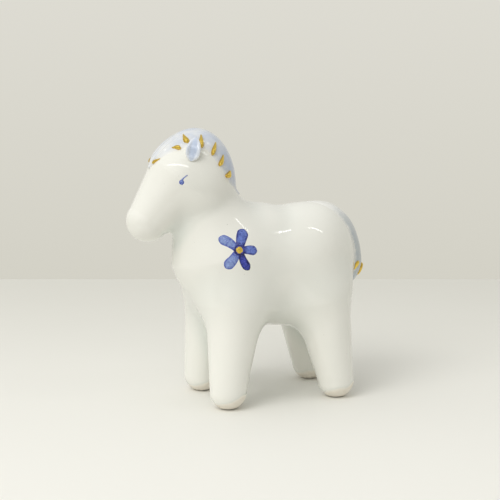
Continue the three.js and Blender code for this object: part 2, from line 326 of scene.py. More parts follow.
@dataclass(frozen=True)
class CobaltStroke:
    """One stroke of cobalt under the glaze, dark where the brush stopped and at its edges."""

    strength: Strength

    def make(self) -> Material:
        """Builds the material."""
        middle, pooled = self.strength.value
        book = NodeBook.paint(f"cobalt_{self.strength.name.lower()}")
        along = book.attribute(Mark.ALONG)
        across = abs(book.attribute(Mark.ACROSS))
        blot = book.noise(1.1, 4.0, 0.8)
        bristle = book.noise(0.45, 2.0, 0.2)
        edge = across + (blot - 0.5) * 0.7
        pool = edge.rise(0.5, 0.85) * 0.8
        ends = along.rise(0.42, 0.1) * 0.95 + (along + (blot - 0.5) * 0.35).rise(0.82, 0.98) * 0.75
        blots = blot.rise(0.48, 0.72) * 0.75
        colour = book.mix(pool + ends + blots, middle, pooled)
        light = tuple(min(1.0, part * 1.5 + 0.06) for part in middle)
        colour = book.mix(bristle.rise(0.45, 0.7) * edge.rise(0.6, 0.2) * 0.6, colour, light)
        return book.glazed(colour, 0.1 + bristle * 0.06, book.bump(blot, 0.08), 0.1)


@dataclass(frozen=True)
class GoldLustre:
    """Raised gold, burnished by hand, browner in rubbed patches and with painted shade in brown towards the rim
    of each dome.
    """

    bright: Triple = (0.86, 0.62, 0.13)
    worn_and_shaded: Triple = (0.58, 0.34, 0.045)

    def make(self) -> Material:
        """Builds the material."""
        book = NodeBook.paint("gold_lustre")
        across = abs(book.attribute(Mark.ACROSS))
        rub = book.noise(0.9, 3.0, 0.4)
        # painted shade: the rim of each gilt dome turns browner where it curves down; the patches are rubbed
        # gold
        colour = book.mix(across.rise(0.55, 1.0) * 0.55 + rub.rise(0.5, 0.8) * 0.3, self.bright, self.worn_and_shaded)
        return book.finish(
            Base_Color=colour, Metallic=1.0, Roughness=0.24 + rub * 0.16, Normal=book.bump(rub, 0.02)
        )


@dataclass(frozen=True)
class PaleBoard:
    """The table's matt board, made paler towards the front with painted light."""

    far: Triple = (0.72, 0.715, 0.67)
    near: Triple = (0.85, 0.845, 0.81)

    def make(self, front: Vector) -> Material:
        """Builds the material for a table whose front lies in the given direction."""
        book = NodeBook.paint("pale_board")
        # painted light: the board is made paler towards the front, standing in for the lamps lighting it more
        # there
        near = (book.toward("Object", front) + (book.noise(60.0, 2.0) - 0.5) * 0.03).rise(-0.24, 0.1)
        colour = book.mix(near, self.far, self.near)
        normal = book.bump(book.noise(0.7, 3.0), 0.02)
        return book.finish(Base_Color=colour, Roughness=0.6, IOR=1.3, Normal=normal)


# --- Clay ---


def melt(first: Array, second: Array, fillet: float) -> Array:
    """Joins two fields with a fillet of about the given size."""
    near = np.maximum(fillet - np.abs(first - second), 0.0) / fillet
    return np.minimum(first, second) - near * near * fillet / 4


def unit(vectors: Array) -> Array:
    """The rows of an array, each brought to a length of 1."""
    return vectors / np.maximum(np.linalg.norm(vectors, axis=1, keepdims=True), TINY)


@dataclass(frozen=True)
class Ball:
    """An ellipsoid of clay."""

    centre: Triple
    radii: Triple

    def distance(self, points: Array) -> Array:
        """About how far each point is outside it."""
        offset = (points - self.centre) / self.radii
        reach = np.linalg.norm(offset, axis=1)
        slope = np.linalg.norm(offset / self.radii, axis=1)
        return reach * (reach - 1) / np.maximum(slope, TINY)


@dataclass(frozen=True)
class Limb:
    """A round bar of clay whose radius goes evenly from one end's to the other's."""

    start: Triple
    end: Triple
    start_radius: float
    end_radius: float

    def distance(self, points: Array) -> Array:
        """About how far each point is outside it."""
        along = np.subtract(self.end, self.start)
        offset = points - self.start
        share = np.clip(offset @ along / (along @ along), 0.0, 1.0)
        radius = self.start_radius + (self.end_radius - self.start_radius) * share
        return np.linalg.norm(offset - share[:, None] * along, axis=1) - radius


@dataclass(frozen=True)
class Clay:
    """Lumps melted into one form, with a fillet for each.

    Attributes:
        lumps: each lump and the fillet that joins it to those before it.
        vent: the well that is cut into it.
        floor: the height at which the feet are ground flat.
        floor_edge: the roundness of the ground edge.
        vent_edge: the roundness of the well's mouth.
        ripple: the depth of the hand-finished unevenness.
        probe: the step over which its slope is measured.
        longest_step: how far a point may move at once on its way to the surface.
    """

    lumps: tuple[tuple[Ball | Limb, float], ...]
    vent: Limb
    floor: float
    floor_edge: float = 0.5
    vent_edge: float = 0.8
    ripple: float = 0.05
    probe: float = 0.02
    longest_step: float = 0.8

    def distance(self, points: Array) -> Array:
        """About how far each point is outside the clay."""
        total = np.full(len(points), 1e3)
        for lump, fillet in self.lumps:
            total = melt(total, lump.distance(points), fillet)
        waves = np.sin(points @ (0.31, 0.17, 0.11) + 1.3) * np.sin(points @ (-0.12, 0.29, 0.21) + 0.4)
        waves += np.sin(points @ (0.16, -0.21, 0.33) + 2.1) * 0.7
        standing = melt(-total - self.ripple * waves, points[:, 2] - self.floor, self.floor_edge)
        return -melt(standing, self.vent.distance(points), self.vent_edge)

    def slope(self, points: Array) -> Array:
        """The field's gradient at each point."""
        steps = np.eye(3) * self.probe
        parts = [self.distance(points + step) - self.distance(points - step) for step in steps]
        return np.stack(parts, axis=1) / (2 * self.probe)

    def outward(self, points: Array) -> Array:
        """The unit normals at points on the surface."""
        return unit(self.slope(points))

    def settle(self, points: Array, steps: int = 4) -> Array:
        """Moves points along the gradient onto the surface, in short steps."""
        for _ in range(steps):
            slope = self.slope(points)
            size = np.maximum(np.linalg.norm(slope, axis=1), TINY)
            reach = np.clip(-self.distance(points) / size, -self.longest_step, self.longest_step)
            points = points + slope / size[:, None] * reach[:, None]
        return points

    def walk(self, centres: Array, sides: Array, reach: Array) -> Array:
        """The places on the surface at an arc length to one side of each centre."""
        steps = max(1, math.ceil(float(np.abs(reach).max())))
        points, heading = centres, sides
        for _ in range(steps):
            out = self.outward(points)
            heading = unit(heading - np.sum(heading * out, axis=1, keepdims=True) * out)
            points = self.settle(points + heading * reach[:, None] / steps, 2)
        return points

    def skin(self, low: Array, high: Array, cell: float) -> Pair:
        """Meshes the surface with one vertex in each grid cell that it crosses.

        Args:
            low: the lowest corner of the space to search.
            high: the highest corner.
            cell: the grid's step.

        Returns:
            The vertices, and the quads between them.
        """
        counts = np.ceil((high - low) / cell).astype(int) + 1
        axes = [low[i] + cell * np.arange(counts[i]) for i in range(3)]
        grid = np.stack(np.meshgrid(*axes, indexing="ij"), axis=-1)
        values = self.distance(grid.reshape(-1, 3)).reshape(counts)
        total = np.zeros((*(counts - 1), 3))
        number = np.zeros(counts - 1)
        rings = []
        for axis in range(3):
            turn = [axis, (axis + 1) % 3, (axis + 2) % 3]
            turned = np.moveaxis(values, turn, [0, 1, 2])
            near, far = turned[:-1], turned[1:]
            crossing = (near < 0) != (far < 0)
            share = np.where(crossing, near / np.where(crossing, near - far, 1.0), 0.0)
            sums = np.moveaxis(total, turn, [0, 1, 2])
            tally = np.moveaxis(number, turn, [0, 1, 2])
            for j in (0, 1):
                for k in (0, 1):
                    rows, columns = (slice(i, i + crossing.shape[n] - 1) for n, i in ((1, j), (2, k)))
                    window = (slice(None), rows, columns)
                    sums[..., turn[0]] += share[window]
                    sums[..., turn[1]] += j * crossing[window]
                    sums[..., turn[2]] += k * crossing[window]
                    tally += crossing[window]
            rings.append((turn, crossing[:, 1:-1, 1:-1], (near < 0)[:, 1:-1, 1:-1]))
        used = number > 0
        ids = np.cumsum(used).reshape(used.shape) - 1
        places = np.argwhere(used) + total[used] / number[used][:, None]
        quads = []
        for turn, crossing, inside in rings:
            turned = np.moveaxis(ids, turn, [0, 1, 2])
            corners = (turned[:, :-1, :-1], turned[:, 1:, :-1], turned[:, 1:, 1:], turned[:, :-1, 1:])
            ring = np.stack([corner[crossing] for corner in corners], axis=1)
            quads.append(np.where(inside[crossing][:, None], ring, ring[:, ::-1]))
        return low + places * cell, np.concatenate(quads)


def relaxed(clay: Clay, vertices: Array, quads: Array, rounds: int) -> Array:
    """Evens out a skin's quads while keeping its vertices on the surface.

    Args:
        clay: the field that the skin belongs to.
        vertices: its vertices.
        quads: its faces.
        rounds: how often each vertex moves towards its neighbours.

    Returns:
        The vertices' new places.
    """
    pairs = np.concatenate([quads[:, [i, (i + 1) % 4]] for i in range(4)])
    both = np.concatenate([pairs, pairs[:, ::-1]])
    tally = np.bincount(both[:, 0], minlength=len(vertices))[:, None]
    for _ in range(rounds):
        sums = [np.bincount(both[:, 0], vertices[both[:, 1], i], len(vertices)) for i in range(3)]
        vertices = clay.settle(0.5 * vertices + 0.5 * np.stack(sums, axis=1) / tally, 2)
    return clay.settle(vertices, 3)


def stretch(share: Array, last: int) -> Pair:
    """The number of the stretch that each share of a run falls in, and how far along it that is."""
    place = np.clip(share, 0.0, 1.0) * last
    start = np.minimum(np.floor(place).astype(int), last - 1)
    return start, place - start


def bend(first: Array, second: Array, leave: Array, arrive: Array, t: Array) -> Array:
    """The cubic from one value to the next with the given slopes at its ends."""
    cubic = 2 * first - 2 * second + leave + arrive
    square = -3 * first + 3 * second - 2 * leave - arrive
    return ((cubic * t + square) * t + leave) * t + first


@dataclass(frozen=True)
class Profile:
    """A smooth run through values at even shares of a length."""

    values: tuple[float, ...]

    def __call__(self, share: Array) -> Array:
        """The value at each share of the length."""
        last = len(self.values) - 1
        start, t = stretch(share, last)
        values = np.asarray(self.values, float)
        before, first = values[np.maximum(start - 1, 0)], values[start]
        second, after = values[start + 1], values[np.minimum(start + 2, last)]
        return bend(first, second, (second - before) / 2, (after - first) / 2, t)


@dataclass(frozen=True)
class Path:
    """A smooth line through points in space, whose curvature stays even where the points are uneven."""

    points: tuple[Triple, ...]

    def __call__(self, share: Array) -> Array:
        """The place at each share of the way, by number of points."""
        knots = np.asarray(self.points, float)
        knots = np.vstack([2 * knots[0] - knots[1], knots, 2 * knots[-1] - knots[-2]])
        start, t = stretch(share, len(self.points) - 1)
        near = [knots[start + i] for i in range(4)]
        p0, p1, p2, p3 = near
        d0, d1, d2 = (np.sqrt(np.linalg.norm(b - a, axis=1))[:, None] for a, b in pairwise(near))
        leave = ((p1 - p0) / d0 - (p2 - p0) / (d0 + d1) + (p2 - p1) / d1) * d1
        arrive = ((p2 - p1) / d1 - (p3 - p1) / (d1 + d2) + (p3 - p2) / d2) * d1
        return bend(p1, p2, leave, arrive, t[:, None])

    def tangent(self, share: Array, step: float = 1e-4) -> Array:
        """The direction of travel at each share of the way."""
        return unit(self(np.minimum(share + step, 1.0)) - self(np.maximum(share - step, 0.0)))


Sheet = Callable[[Array, Array], Array]
Surface = Callable[[Array, Array], Pair]


@dataclass(frozen=True)
class Strip:
    """A strip of the body's surface that follows a line: s runs along it from 0 to 1, v across from -1 to 1."""

    clay: Clay
    line: Path
    half_width: Callable[[Array], Array]

    def __call__(self, s: Array, v: Array) -> Pair:
        """The places on the surface and the outward directions there."""
        centres = self.clay.settle(self.line(s), 6)
        sides = unit(np.cross(self.clay.outward(centres), self.line.tangent(s)))
        places = self.clay.walk(centres, sides, v * self.half_width(s))
        return places, self.clay.outward(places)


# --- Meshes ---


@dataclass
class Shop:
    """Where finished pieces go: it turns clay millimetres into the frame's metres and reports each piece.

    Attributes:
        shift: where the clay's own origin lies in the frame, in metres.
        names: the pieces that were handed over.
    """

    shift: Array
    names: list[str] = field(default_factory=list)

    def mesh(
        self,
        name: str,
        points: Array,
        faces: Sequence[Sequence[int]],
        marks: Mapping[Mark, Array],
    ) -> Piece:
        """Makes a smooth-shaded closed piece from clay points.

        Args:
            name: the piece's name.
            points: its vertices, in clay millimetres.
            faces: the vertex numbers of its faces.
            marks: numbers to store on its vertices.

        Returns:
            The new object.
        """
        mesh = bpy.data.meshes.new(name)
        mesh.from_pydata((points * MM + self.shift).tolist(), [], faces)
        for mark, values in marks.items():
            stored = mesh.attributes.new(mark.value, "FLOAT", "POINT")
            stored.data.foreach_set("value", np.asarray(values, np.float32))
        shape = bmesh.new()
        shape.from_mesh(mesh)
        if shape.calc_volume(signed=True) < 0:
            mesh.flip_normals()
        shape.free()
        mesh.shade_smooth()
        piece = bpy.data.objects.new(name, mesh)
        bpy.context.scene.collection.objects.link(piece)
        return piece

    def hand_over(
        self, piece: Piece, material: Material, slot: str, *nodes: str
    ) -> None:
        """Dresses a piece, hangs it on the figure's body and lets it stand for its CAD nodes.

        Args:
            piece: the finished mesh.
            material: what it is dressed in.
            slot: the kind of finish; not used.
            nodes: the CAD nodes that it stands for.
        """
        piece.data.materials.append(material)
        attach(piece, ROOT)
        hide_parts(*nodes)
        self.names.append(piece.name)
        LOG.info("%s: %d faces, %s", piece.name, len(piece.data.polygons), material.name)


def pillow(
    shop: Shop, name: str, surface: Surface, height: Sheet, along: int, across: int
) -> Piece:
    """Makes a closed piece of relief whose edge goes down into the surface that it lies on.

    Args:
        shop: where the piece is made.
        name: the piece's name.
        surface: the places and outward directions of what it lies on, from shares along and across.
        height: its thickness at those shares.
        along: how many faces it has along its length.
        across: how many it has across its width.

    Returns:
        The new object, with its shares stored on its vertices.
    """
    angles = np.linspace(math.pi, 0.0, across + 1)
    s, v = np.meshgrid(np.linspace(0.0, 1.0, along + 1), np.cos(angles), indexing="ij")
    s, v = s.ravel(), v.ravel()
    base, out = surface(s, v)
    top = base + out * height(s, v)[:, None]
    points = np.vstack([top, base - out * SINK])
    count = len(s)
    ids = np.arange(count).reshape(along + 1, across + 1)
    a, b, c, d = ids[:-1, :-1], ids[1:, :-1], ids[1:, 1:], ids[:-1, 1:]
    faces = [np.stack([a, b, c, d], axis=-1).reshape(-1, 4)]
    faces.append(np.stack([a, d, c, b], axis=-1).reshape(-1, 4) + count)
    rim = np.concatenate([ids[:-1, 0], ids[-1, :-1], ids[:0:-1, -1], ids[0, :0:-1]])
    following = np.roll(rim, -1)
    faces.append(np.stack([following, rim, rim + count, following + count], axis=1))
    marks = {Mark.ALONG: np.tile(s, 2), Mark.ACROSS: np.tile(v, 2)}
    return shop.mesh(name, points, np.concatenate(faces).tolist(), marks)


# --- The horse's own sub-assemblies ---


@dataclass(frozen=True)
class Leg:
    """One leg: a tapering bar from the hip or shoulder down to a round foot."""

    hip: Triple
    foot: tuple[float, float]
    thickness: float
    foot_radius: float = 6.4
    foot_centre: float = 7.0
    fillet: float = 9.0

    def lump(self) -> tuple[Limb, float]:
        """The leg as a lump of clay and its fillet."""
        return Limb(self.hip, (*self.foot, self.foot_centre), self.thickness, self.foot_radius), self.fillet


@dataclass
class HorseBody:
    """The cast white body: trunk, head and four legs in one, ground flat under the feet.

    Attributes:
        belly_bottom: the height of the belly's lowest point.
        floor: the height at which the feet are ground flat.
        cell: the size of the mesh's faces.
        glaze_line: how high above the ground the bare clay of the feet ends.
        foot_reach: the distance from the middle to a foot's centre, lengthwise.
        foot_spread: the same, sideways.
        step_back: how far the right hind foot stands behind the left one.
        vent_radius: the size of the drain hole under the belly.
        vent_depth: how deep it goes.
        crease_reach: how far off the surface a hollow is felt for.
        crease_depth: how much nearer than that the clay is in a full hollow.
    """

    belly_bottom: float = 26.2
    cell: float = 0.66
    floor: float = 1.0
    glaze_line: float = 3.7
    foot_reach: float = 20.6
    foot_spread: float = 13.3
    step_back: float = 1.6
    vent_radius: float = 3.0
    vent_depth: float = 8.0
    crease_reach: float = 3.0
    crease_depth: float = 0.9
    finish: ClearGlaze = ClearGlaze()

    def trunk(self) -> tuple[tuple[Ball | Limb, float], ...]:
        """Belly, chest, haunches, rump and withers."""
        belly = Ball((2, 0, self.belly_bottom + 20.7), (27, 18.5, 20.7))
        chest = Ball((-15, 0, 49.5), (16, 18.5, 20))
        haunches = Ball((14, 0, 51), (14, 17.3, 17.5))
        rump = Ball((19.6, 0, 51.6), (11.4, 11.5, 15.8))
        withers = Ball((-4, 0, 60), (11, 12, 10))
        return (belly, 1.0), (chest, 8.0), (haunches, 8.0), (rump, 6.0), (withers, 4.0)

    def head(self) -> tuple[tuple[Ball | Limb, float], ...]:
        """Neck, skull, muzzle and cheeks."""
        neck = Limb((-19.1, 0, 54.5), (-25.5, 0, 78), 16.8, 9.8)
        skull = Ball((-27.8, 0, 84), (11, 11.2, 11.7))
        muzzle = Limb((-33.5, 0, 79), (-44.7, 0, 66.3), 11.8, 7.3)
        cheeks = Ball((-27, 0, 77.5), (12, 13, 12.5))
        return (neck, 6.0), (skull, 6.0), (muzzle, 6.0), (cheeks, 2.5)

    def legs(self) -> tuple[Leg, ...]:
        """The two front legs and the two hind legs."""
        reach, spread, back = self.foot_reach, self.foot_spread, self.step_back
        return (
            Leg((-17, -10.5, 36), (-reach, -spread), 10),
            Leg((-17, 10.5, 36), (-reach, spread), 10),
            Leg((16, -10.5, 36), (reach, -spread), 10.2),
            Leg((16.6, 10.5, 36), (reach + back, spread), 10.2),
        )

    def clay(self) -> Clay:
        """The whole body's field."""
        lumps = (*self.trunk(), *self.head(), *(leg.lump() for leg in self.legs()))
        mouth = (0, 0, self.belly_bottom - self.vent_depth)
        end = (0, 0, self.belly_bottom + self.vent_depth - self.vent_radius)
        return Clay(lumps, Limb(mouth, end, self.vent_radius, self.vent_radius), self.floor)

    def glaze_reach(self, points: Array) -> Array:
        """How far each point is above the wavy line where the glaze was wiped off its foot."""
        x = points[:, 0] - np.sign(points[:, 0]) * self.foot_reach
        y = points[:, 1] - np.sign(points[:, 1]) * self.foot_spread
        wave = 0.28 * x - 0.1 * y + 0.4 * np.sin(0.55 * x + 0.8 * y + 0.1 * points[:, 0])
        return points[:, 2] - self.floor - self.glaze_line - wave

    def crease(self, clay: Clay, points: Array) -> Array:
        """How deep each point lies in a hollow of the surface, from 0 to 1."""
        above = points + clay.outward(points) * self.crease_reach
        return np.clip((self.crease_reach - clay.distance(above)) / self.crease_depth, 0.0, 1.0)

    def build(self, shop: Shop, clay: Clay) -> None:
        """Meshes and dresses the body.

        Args:
            shop: where the piece is made.
            clay: the body's field.
        """
        low = np.array((-54.0, -24.0, self.floor - 1.5))
        high = np.array((40.0, 24.0, 99.0))
        vertices, quads = clay.skin(low, high, self.cell)
        vertices = relaxed(clay, vertices, quads, 3)
        marks = {Mark.GLAZE: self.glaze_reach(vertices), Mark.CREASE: self.crease(clay, vertices)}
        piece = shop.mesh("porcelain_body", vertices, quads.tolist(), marks)
        shop.hand_over(piece, self.finish.make(), "porcelain", "body")


@dataclass(frozen=True)
class Drop:
    """A gilt drop: its round end and its tip, in shares of a band's length and half width, and its size."""

    name: str
    round_end: tuple[float, float]
    tip: tuple[float, float]
    size: float = 1.0


@dataclass
class Band:
    """A raised band of hair along the middle of the body, with gilt drops on it.

    Attributes:
        line: the way it takes over the body.
        half_width: half its width along the way.
        rise: how high it stands at its middle along the way.
        length: its length, which its drops are laid out by.
        drops: its gilt drops.
        fullness: the power that its cross-section is raised to, where less is squarer.
        strands: how many soft grooves it has on each side.
        strand_depth: how deep they are.
        ridge: how high the raised edge of the forelock stands.
        forelock: the share of the length that the forelock takes up.
        ridge_start: how far from the middle that edge starts, as a share of the half width.
        ridge_slant: how fast it runs in towards the middle.
        ridge_width: how wide it is.
        drop_radius: half the width of a drop of size 1.
        drop_height: how high that drop stands.
        drop_outline: a drop's width from its round end to its tip, as shares of its full width.
        drop_ease: how much closer together its rows are at both ends.
        probe: the step over which the slope of the band's top is measured.
    """

    name: str
    line: Path
    half_width: Profile
    rise: Profile
    length: float
    drops: tuple[Drop, ...]
    finish: BlueWash
    along: int = 150
    across: int = 64
    sunk: float = 0.12
    fullness: float = 0.8
    strands: float = 2.5
    strand_depth: float = 0.07
    ridge: float = 0.0
    forelock: float = 0.42
    ridge_start: float = 0.55
    ridge_slant: float = 0.6
    ridge_width: float = 0.1
    drop_radius: float = 1.1
    drop_height: float = 1.0
    drop_outline: Profile = Profile((0.0, 0.84, 1, 0.94, 0.76, 0.53, 0.33, 0.13))
    drop_ease: float = 0.35
    probe: float = 0.004

    def height(self, s: Array, v: Array) -> Array:
        """The band's thickness."""
        dome = np.clip(1 - v * v, 0.0, 1.0)
        grooves = np.cos(math.pi * self.strands * np.abs(v) ** 0.8 + 2.5 * s) * dome * np.sin(math.pi * s)
        from_ridge = (np.abs(v) - self.ridge_start + self.ridge_slant * s) / self.ridge_width
        swell = np.where(s < self.forelock, np.clip(np.sin(math.pi * s / self.forelock), 0, 1), 0.0)
        relief = self.strand_depth * grooves + self.ridge * np.exp(-(from_ridge**2)) * swell
        return self.rise(s) * dome**self.fullness - self.sunk + relief

    def build(self, shop: Shop, clay: Clay, gold: Material) -> None:
        """Makes and dresses the band and its drops.

        Args:
            shop: where the pieces are made.
            clay: the body that they lie on.
            gold: the drops' material.
        """
        strip = Strip(clay, self.line, self.half_width)
        band = pillow(shop, f"glazed_{self.name}", strip, self.height, self.along, self.across)
        shop.hand_over(band, self.finish.make(), "blue_glaze", self.name)
        for drop in self.drops:
            shop.hand_over(self.make_drop(shop, strip, drop), gold, "gilt", drop.name)

    def raised(self, strip: Strip, s: Array, v: Array) -> Pair:
        """The places on the band's top, and the body's outward directions under them."""
        places, out = strip(s, v)
        return places + out * np.maximum(self.height(s, v), 0.0)[:, None], out

    def top(self, strip: Strip, s: Array, v: Array) -> Pair:
        """The places on the band's top, and its own outward directions there."""
        step = self.probe
        along = np.concatenate((s, s + step, s - step, s, s))
        across = np.concatenate((v, v, v, v + step, v - step))
        places, out = self.raised(strip, along, across)
        places, ahead, behind, right, left = np.split(places, 5)
        normals = np.cross(ahead - behind, right - left)
        normals *= np.sign(np.sum(normals * np.split(out, 5)[0], axis=1, keepdims=True))
        return places, unit(normals)

    def make_drop(self, shop: Shop, strip: Strip, drop: Drop) -> Piece:
        """Makes one drop, whose sides run square to its own middle line.

        Args:
            shop: where the piece is made.
            strip: the body's surface under the band.
            drop: its place and size.

        Returns:
            The new object.
        """
        (s0, v0), (s1, v1) = drop.round_end, drop.tip
        width = float(self.half_width(np.array((s0 + s1) / 2)))
        run = np.array(((s1 - s0) * self.length, (v1 - v0) * width))
        run /= np.linalg.norm(run)
        radius = self.drop_radius * drop.size

        def eased(t: Array) -> Array:
            """The share of the way, with rows closer together at both ends."""
            return (1 - np.cos(np.pi * t)) / 2 * self.drop_ease + t * (1 - self.drop_ease)

        def surface(t: Array, v: Array) -> Pair:
            """The band's top under the drop."""
            share = eased(t)
            aside = v * radius * self.drop_outline(share)
            s = s0 + (s1 - s0) * share - aside * run[1] / self.length
            return self.top(strip, s, v0 + (v1 - v0) * share + aside * run[0] / width)

        def height(t: Array, v: Array) -> Array:
            """The drop's dome."""
            swell = np.sqrt(np.clip(self.drop_outline(eased(t)), 0, 1))
            return self.drop_height * drop.size * swell * np.sqrt(np.clip(1 - v * v, 0, 1))

        return pillow(shop, f"gilt_{drop.name}", surface, height, 28, 16)


def mane() -> Band:
    """The mane, from the forelock over the head and down the neck, with seven drops on each side."""
    ends = (
        ((0.035, 0.8), (0.09, 0.97), 0.68),
        ((0.252, 0.9), (0.203, 0.68), 0.92),
        ((0.312, 0.8), (0.325, 0.36), 0.95),
        ((0.408, 0.98), (0.428, 0.5)),
        ((0.54, 0.98), (0.53, 0.57)),
        ((0.69, 0.96), (0.637, 0.66)),
        ((0.822, 0.96), (0.78, 0.72), 1.15),
    )
    drops = tuple(
        Drop(f"mane_drop_{name}_{i + 1}", (s0, side * v0), (s1, side * max(v1, nearest)), *size)
        for name, side, nearest in (("left", -1, 0.0), ("right", 1, 0.52))
        for i, ((s0, v0), (s1, v1), *size) in enumerate(ends)
    )
    crest = (
        *((-43.8, 0, 84.4), (-40, 0, 90.4), (-34.5, 0, 94.5), (-27, 0, 96)),
        *((-20, 0, 92.5), (-16.4, 0, 87), (-14, 0, 80.5), (-10.5, 0, 74.5)),
    )
    return Band(
        name="mane",
        line=Path(crest),
        half_width=Profile((0.9, 5.2, 8.0, 9.8, 11.8, 13.2, 13.2, 10.4, 0.9)),
        rise=Profile((0.75, 0.85, 1.1, 1.65, 1.95, 1.88, 1.7, 1.4, 0.8)),
        length=53,
        drops=drops,
        finish=BlueWash("mane_wash"),
        fullness=1.05,
        ridge=0.35,
    )


def tail() -> Band:
    """The tail, which lies on the rump and swells towards its end, with three drops there."""
    drops = (
        Drop("tail_drop_left", (0.695, -0.8), (0.775, -0.94), 0.5),
        Drop("tail_drop_middle", (0.715, -0.3), (0.815, -0.5), 0.75),
        Drop("tail_drop_right", (0.73, 0.5), (0.82, 0.8), 0.9),
    )
    crest = ((15, 0, 70), (23, 0, 66.5), (29, 0, 60.5), (32.5, 0, 52), (31.6, 0, 43.5), (30, 0, 36))
    colours = {"middle": (0.52, 0.565, 0.585), "deep": (0.47, 0.52, 0.575)}
    return Band(
        name="tail",
        line=Path(crest),
        half_width=Profile((0.8, 5, 7, 7.6, 7.4, 6.6, 5.6, 4, 0.6)),
        rise=Profile((0.2, 0.7, 1.7, 2.4, 2.8, 3.5, 4.3, 3.3, 0.9)),
        length=40,
        drops=drops,
        finish=BlueWash("tail_wash", **colours, start=0.35, end=0.45, least=-0.2, fade=0.82),
        along=110,
        across=48,
        strand_depth=0.2,
    )


@dataclass
class Ear:
    """A small cupped ear, rooted in the mane's edge and standing a little off the head.

    Attributes:
        side: -1 for the left ear and 1 for the right.
        root: the ear's lower end, as it is on the right of the head.
        tip: its upper end, likewise.
        half_width: half its width along its length.
        thickness: half its thickness along its length.
        stand: how far its tip stands off the head.
        lift: how far its root does.
        cup: how deep its front is hollowed, as a share of its thickness.
        bluntness: the power that rounds off its two ends.
    """

    name: str
    side: int
    finish: BlueWash
    root: Triple = (-32.8, 11.4, 87.6)
    tip: Triple = (-29.6, 8.8, 92.7)
    half_width: Profile = Profile((2.2, 2.6, 2.6, 2.4, 2.1, 1.75, 1.2))
    thickness: Profile = Profile((0.8, 1.1, 1.2, 1.15, 1.05, 0.9, 0.6))
    stand: float = 2.6
    lift: float = 0.3
    cup: float = 0.95
    bluntness: float = 2.6
    rings: int = 44
    around: int = 40

    def build(self, shop: Shop, clay: Clay) -> None:
        """Makes and dresses the ear: rounded rings from root to tip, closed at each end, hollowed in front.

        Args:
            shop: where the piece is made.
            clay: the head that it stands on.
        """
        line = Path(tuple((x, self.side * y, z) for x, y, z in (self.root, self.tip)))
        share = (1 - np.cos(np.linspace(0, math.pi, self.rings + 1))) / 2
        end = np.sqrt(np.clip(1 - np.abs(2 * share - 1) ** self.bluntness, 0.0, 1.0))
        centre = clay.settle(line(share), 6)
        out = clay.outward(centre)
        sides = unit(np.cross(out, line.tangent(share)))
        stand = self.stand * (0.35 * share + 0.65 * np.clip(share / 0.45, 0, 1) ** 1.5)
        centre = centre + out * (stand + self.lift)[:, None]
        turn = np.linspace(0, 2 * math.pi, self.around, endpoint=False)
        wide, deep = np.cos(turn), np.sin(turn)
        hollow = self.cup * np.clip((1 - wide**2) * 1.25, 0, 1) ** 2
        open_front = np.clip((0.95 - share) / 0.5, 0.0, 1.0) * np.clip(share / 0.25, 0.4, 1.0)
        body = np.where(deep > 0, deep * (1 - hollow * open_front[:, None]), deep)
        x = wide[None, :] * (self.half_width(share) * end)[:, None]
        y = body * (self.thickness(share) * end)[:, None]
        points = centre[:, None] + sides[:, None] * x[..., None] + out[:, None] * y[..., None]
        count = self.rings + 1
        ids = np.arange(count * self.around).reshape(count, self.around)
        following = np.roll(ids, -1, axis=1)
        faces = np.stack([ids[:-1], following[:-1], following[1:], ids[1:]], axis=-1).reshape(-1, 4)
        points = points.reshape(-1, 3)
        middles = [points[ids[0]].mean(0), points[ids[-1]].mean(0)]
        first, last = np.full(self.around, len(points)), np.full(self.around, len(points) + 1)
        fans = [[first, following[0], ids[0]], [last, ids[-1], following[-1]]]
        across = np.where(deep > 0, wide**2, 1.0)
        marks = {
            Mark.ALONG: np.append(np.repeat(share, self.around), [0.0, 1.0]),
            Mark.ACROSS: np.append(np.tile(across, count), [1.0, 1.0]),
        }
        closed = faces.tolist() + [face for fan in fans for face in np.stack(fan, axis=1).tolist()]
        piece = shop.mesh(f"glazed_{self.name}", np.vstack([points, middles]), closed, marks)
        shop.hand_over(piece, self.finish.make(), "blue_glaze", self.name)


@dataclass(frozen=True)
class BrushStroke:
    """A stroke of cobalt, as thick as the glaze melted over it.

    Attributes:
        name: the stroke's name.
        line: the way the brush went.
        half_width: half its width along the way.
        strength: how loaded the brush was.
        round_from: the share of the way at which its rounded end starts.
        thickness: how high the glaze stands over it.
        sunk: how far its edge goes into the body.
    """

    name: str
    line: Path
    half_width: Profile
    strength: Strength
    round_from: float = 0.8
    thickness: float = 0.2
    sunk: float = 0.04

    def build(self, shop: Shop, clay: Clay, *nodes: str) -> None:
        """Makes and dresses the stroke.

        Args:
            shop: where the piece is made.
            clay: the body that it is painted on.
            nodes: the CAD nodes that it stands for.
        """

        def half_width(s: Array) -> Array:
            """Half the stroke's width, rounded off at its end."""
            past = np.clip((s - self.round_from) / (1 - self.round_from), 0.0, 0.995)
            return self.half_width(s) * np.sqrt(1 - past**2)

        def height(s: Array, v: Array) -> Array:
            """The glaze over the stroke."""
            return self.thickness * (1 - v**2) - self.sunk

        strip = Strip(clay, self.line, half_width)
        piece = pillow(shop, f"painted_{self.name}", strip, height, 40, 20)
        shop.hand_over(piece, CobaltStroke(self.strength).make(), "cobalt", *nodes)


@dataclass
class Eye:
    """A small cobalt dot with a lash, on one side of the head."""

    side: int
    name: str

    def build(self, shop: Shop, clay: Clay) -> None:
        """Makes and dresses the eye."""
        places = ((-36.6, 12, 79.8), (-36, 12, 81.6), (-34.2, 12, 83))
        line = Path(tuple((x, self.side * y, z) for x, y, z in places))
        half_width = Profile((0.55, 0.9, 0.85, 0.42, 0.25, 0.21, 0.17, 0.1))
        BrushStroke(self.name, line, half_width, Strength.PALE, 0.97).build(shop, clay, self.name)


